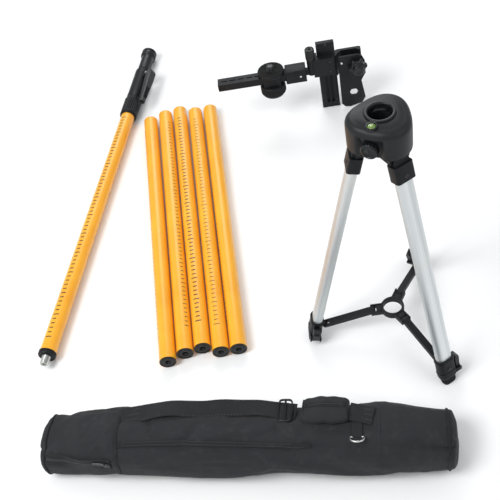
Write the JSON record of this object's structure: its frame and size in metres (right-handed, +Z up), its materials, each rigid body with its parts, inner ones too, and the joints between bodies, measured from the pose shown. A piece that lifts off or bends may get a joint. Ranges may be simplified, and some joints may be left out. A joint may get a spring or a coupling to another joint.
{
  "type": "laser level pole and tripod kit",
  "caption": "Laser-level support kit laid out: small tripod with a socket head, telescoping graduated pole, extension tubes, clamp bracket with rail and platform, and a soft carry bag.",
  "frame": {"origin": "on the floor, under the middle of the laid-out kit's outline", "axes": "+Z up; +Y along the tubes, from their plugged ends to their far ends; +X towards the tripod and the bracket"},
  "size_m": [0.7258, 1.222, 0.4825],
  "materials": {
    "black_plastic": "fine-grained black moulding",
    "aluminium": "drawn and lightly brushed",
    "yellow_tube": "thin-walled aluminium with a satin orange-yellow coat and a printed scale",
    "zinc": "zinc-plated steel",
    "rubber": "matt black rubber",
    "vial": "clear acrylic over green-yellow fluid",
    "bag_cloth": "charcoal woven nylon",
    "webbing": "black woven webbing"
  },
  "bodies": {
    "head": {"head_cover": "black_plastic", "head_base": "black_plastic", "collar_bush": "black_plastic", "level_vial": "vial"},
    "pad": {"clamp_pad": "black_plastic"},
    "knob": {"head_knob": "black_plastic"},
    "leg_a": {"hinge_block_a": "black_plastic", "leg_tube_a": "aluminium", "foot_clamp_a": "black_plastic"},
    "lock_a": {"lock_lever_a": "black_plastic"},
    "foot_a": {"inner_leg_a": "aluminium", "rubber_foot_a": "rubber"},
    "arm_a": {"spreader_arm_a": "black_plastic"},
    "leg_b": {"hinge_block_b": "black_plastic", "leg_tube_b": "aluminium", "foot_clamp_b": "black_plastic"},
    "lock_b": {"lock_lever_b": "black_plastic"},
    "foot_b": {"inner_leg_b": "aluminium", "rubber_foot_b": "rubber"},
    "arm_b": {"spreader_arm_b": "black_plastic"},
    "leg_c": {"hinge_block_c": "black_plastic", "leg_tube_c": "aluminium", "foot_clamp_c": "black_plastic"},
    "lock_c": {"lock_lever_c": "black_plastic"},
    "foot_c": {"inner_leg_c": "aluminium", "rubber_foot_c": "rubber"},
    "arm_c": {"spreader_arm_c": "black_plastic"},
    "hub": {"spreader_hub": "black_plastic"},
    "pole": {"pole_tube": "yellow_tube", "pole_end_ring": "black_plastic", "pole_stud": "zinc", "lever_housing": "black_plastic"},
    "collar": {"collar_nut": "black_plastic"},
    "pole_lever": {"pole_lever": "black_plastic"},
    "mast": {"mast_tube": "aluminium", "mast_cap": "black_plastic"},
    "tube_1": {"extension_tube_1": "yellow_tube", "socket_plug_1": "black_plastic"},
    "tube_2": {"extension_tube_2": "yellow_tube", "socket_plug_2": "black_plastic"},
    "tube_3": {"extension_tube_3": "yellow_tube", "socket_plug_3": "black_plastic"},
    "tube_4": {"extension_tube_4": "yellow_tube", "socket_plug_4": "black_plastic"},
    "tube_5": {"extension_tube_5": "yellow_tube", "socket_plug_5": "black_plastic"},
    "bracket": {"slide_plate": "black_plastic", "pole_hook": "black_plastic"},
    "jaw": {"clamp_plate": "black_plastic"},
    "star": {"star_knob": "black_plastic"},
    "carriage": {"slide_block": "black_plastic"},
    "lock_screw": {"slide_lock_screw": "black_plastic"},
    "rail_arm": {"rail_block": "black_plastic", "rail": "black_plastic"},
    "platform": {"platform": "black_plastic"},
    "wheel": {"platform_wheel": "black_plastic"},
    "bag": {"bag_body": "bag_cloth", "bag_strap": "webbing", "strap_pad": "webbing", "strap_end": "webbing"}
  },
  "joints": [
    {"name": "pad_travel", "type": "slide", "parent": "head", "child": "pad", "axis": [0.5606, 0.8281, 0], "range_m": [0, 0.0014]},
    {"name": "head_knob_turn", "type": "hinge", "parent": "pad", "child": "knob", "pos_m": [0.2707, -0.3135, 0.448], "axis": [0.5606, 0.8281, 0], "range_deg": [0, 504]},
    {"name": "leg_a_fold", "type": "hinge", "parent": "head", "child": "leg_a", "pos_m": [0.28555, -0.34408, 0.428], "axis": [0.8996, 0.4368, 0], "range_deg": [0, 9]},
    {"name": "lock_a_flip", "type": "hinge", "parent": "leg_a", "child": "lock_a", "pos_m": [0.3491, -0.42699, 0.01756], "axis": [-0.4238, 0.8728, -0.2419], "range_deg": [0, 100]},
    {"name": "leg_a_extend", "type": "slide", "parent": "leg_a", "child": "foot_a", "axis": [0.1057, -0.2176, -0.9703], "range_m": [0, 0.2]},
    {"name": "arm_a_swing", "type": "hinge", "parent": "leg_a", "child": "arm_a", "pos_m": [0.32156, -0.41824, 0.03], "axis": [0.8996, 0.4368, 0], "range_deg": [0, 55.4]},
    {"name": "leg_b_fold", "type": "hinge", "parent": "head", "child": "leg_b", "pos_m": [0.28976, -0.28535, 0.428], "axis": [-0.8281, 0.5606, 0], "range_deg": [0, 9]},
    {"name": "lock_b_flip", "type": "hinge", "parent": "leg_b", "child": "lock_b", "pos_m": [0.32979, -0.18886, 0.01756], "axis": [-0.544, -0.8035, -0.2419], "range_deg": [0, 100]},
    {"name": "leg_b_extend", "type": "slide", "parent": "leg_b", "child": "foot_b", "axis": [0.1356, 0.2003, -0.9703], "range_m": [0, 0.2]},
    {"name": "arm_b_swing", "type": "hinge", "parent": "leg_b", "child": "arm_b", "pos_m": [0.33598, -0.21709, 0.03], "axis": [-0.8281, 0.5606, 0], "range_deg": [0, 55.4]},
    {"name": "leg_c_fold", "type": "hinge", "parent": "head", "child": "leg_c", "pos_m": [0.23679, -0.31107, 0.428], "axis": [-0.0715, -0.9974, 0], "range_deg": [0, 9]},
    {"name": "lock_c_flip", "type": "hinge", "parent": "leg_c", "child": "lock_c", "pos_m": [0.13322, -0.32465, 0.01756], "axis": [0.9678, -0.0694, -0.2419], "range_deg": [0, 100]},
    {"name": "leg_c_extend", "type": "slide", "parent": "leg_c", "child": "foot_c", "axis": [-0.2413, 0.0173, -0.9703], "range_m": [0, 0.2]},
    {"name": "arm_c_swing", "type": "hinge", "parent": "leg_c", "child": "arm_c", "pos_m": [0.15457, -0.30518, 0.03], "axis": [-0.0715, -0.9974, 0], "range_deg": [0, 55.4]},
    {"name": "hub_rise", "type": "slide", "parent": "head", "child": "hub", "axis": [0, 0, 1], "range_m": [0, 0.0638]},
    {"name": "pole_lift", "type": "slide", "parent": "head", "child": "pole", "axis": [0, 0, 1], "range_m": [0, 0.3]},
    {"name": "collar_turn", "type": "hinge", "parent": "pole", "child": "collar", "pos_m": [-0.3473, -0.2525, 0.0192], "axis": [0.2487, 0.9686, 0], "range_deg": [0, 720]},
    {"name": "pole_lever_flip", "type": "hinge", "parent": "pole", "child": "pole_lever", "pos_m": [-0.13117, 0.50763, 0.03], "axis": [-0.4547, 0.1168, 0.8829], "range_deg": [0, 85]},
    {"name": "mast_slide", "type": "slide", "parent": "pole", "child": "mast", "axis": [0.2487, 0.9686, 0], "range_m": [0, 0.34]},
    {"name": "tube_1_lift", "type": "slide", "parent": "head", "child": "tube_1", "axis": [0, 0, 1], "range_m": [0, 0.3]},
    {"name": "tube_2_lift", "type": "slide", "parent": "head", "child": "tube_2", "axis": [0, 0, 1], "range_m": [0, 0.3]},
    {"name": "tube_3_lift", "type": "slide", "parent": "head", "child": "tube_3", "axis": [0, 0, 1], "range_m": [0, 0.3]},
    {"name": "tube_4_lift", "type": "slide", "parent": "head", "child": "tube_4", "axis": [0, 0, 1], "range_m": [0, 0.3]},
    {"name": "tube_5_lift", "type": "slide", "parent": "head", "child": "tube_5", "axis": [0, 0, 1], "range_m": [0, 0.3]},
    {"name": "bracket_lift", "type": "slide", "parent": "head", "child": "bracket", "axis": [0, 0, 1], "range_m": [0, 0.3]},
    {"name": "jaw_travel", "type": "slide", "parent": "bracket", "child": "jaw", "axis": [-0.0698, -0.9976, 0], "range_m": [-0.0015, 0.01]},
    {"name": "star_turn", "type": "hinge", "parent": "jaw", "child": "star", "pos_m": [0.33306, 0.27986, 0.108], "axis": [-0.0698, -0.9976, 0], "range_deg": [-270, 1800]},
    {"name": "carriage_travel", "type": "slide", "parent": "bracket", "child": "carriage", "axis": [0, 0, 1], "range_m": [-0.03, 0.02]},
    {"name": "lock_screw_turn", "type": "hinge", "parent": "carriage", "child": "lock_screw", "pos_m": [0.23742, 0.28835, 0.1423], "axis": [0, 0, 1], "range_deg": [0, 540]},
    {"name": "rail_tilt", "type": "hinge", "parent": "carriage", "child": "rail_arm", "pos_m": [0.21291, 0.28906, 0.112], "axis": [0.0698, 0.9976, 0], "range_deg": [-10, 10]},
    {"name": "platform_travel", "type": "slide", "parent": "rail_arm", "child": "platform", "axis": [-0.9976, 0.0698, 0], "range_m": [0, 0.095]},
    {"name": "wheel_turn", "type": "hinge", "parent": "platform", "child": "wheel", "pos_m": [0.15156, 0.29335, 0.112], "axis": [0, 0, 1], "continuous": true},
    {"name": "bag_lift", "type": "slide", "parent": "head", "child": "bag", "axis": [0, 0, 1], "range_m": [0, 0.3]}
  ],
  "couplings": [
    {"joint": "pad_travel", "follows": "head_knob_turn", "m_per_rad": 0.00015915},
    {"joint": "arm_a_swing", "follows": "leg_a_fold", "ratio": 6.1556},
    {"joint": "leg_b_fold", "follows": "leg_a_fold", "ratio": 1},
    {"joint": "arm_b_swing", "follows": "leg_a_fold", "ratio": 6.1556},
    {"joint": "leg_c_fold", "follows": "leg_a_fold", "ratio": 1},
    {"joint": "arm_c_swing", "follows": "leg_a_fold", "ratio": 6.1556},
    {"joint": "hub_rise", "follows": "leg_a_fold", "m_per_rad": 0.40616},
    {"joint": "jaw_travel", "follows": "star_turn", "m_per_rad": 0.00031831}
  ]
}
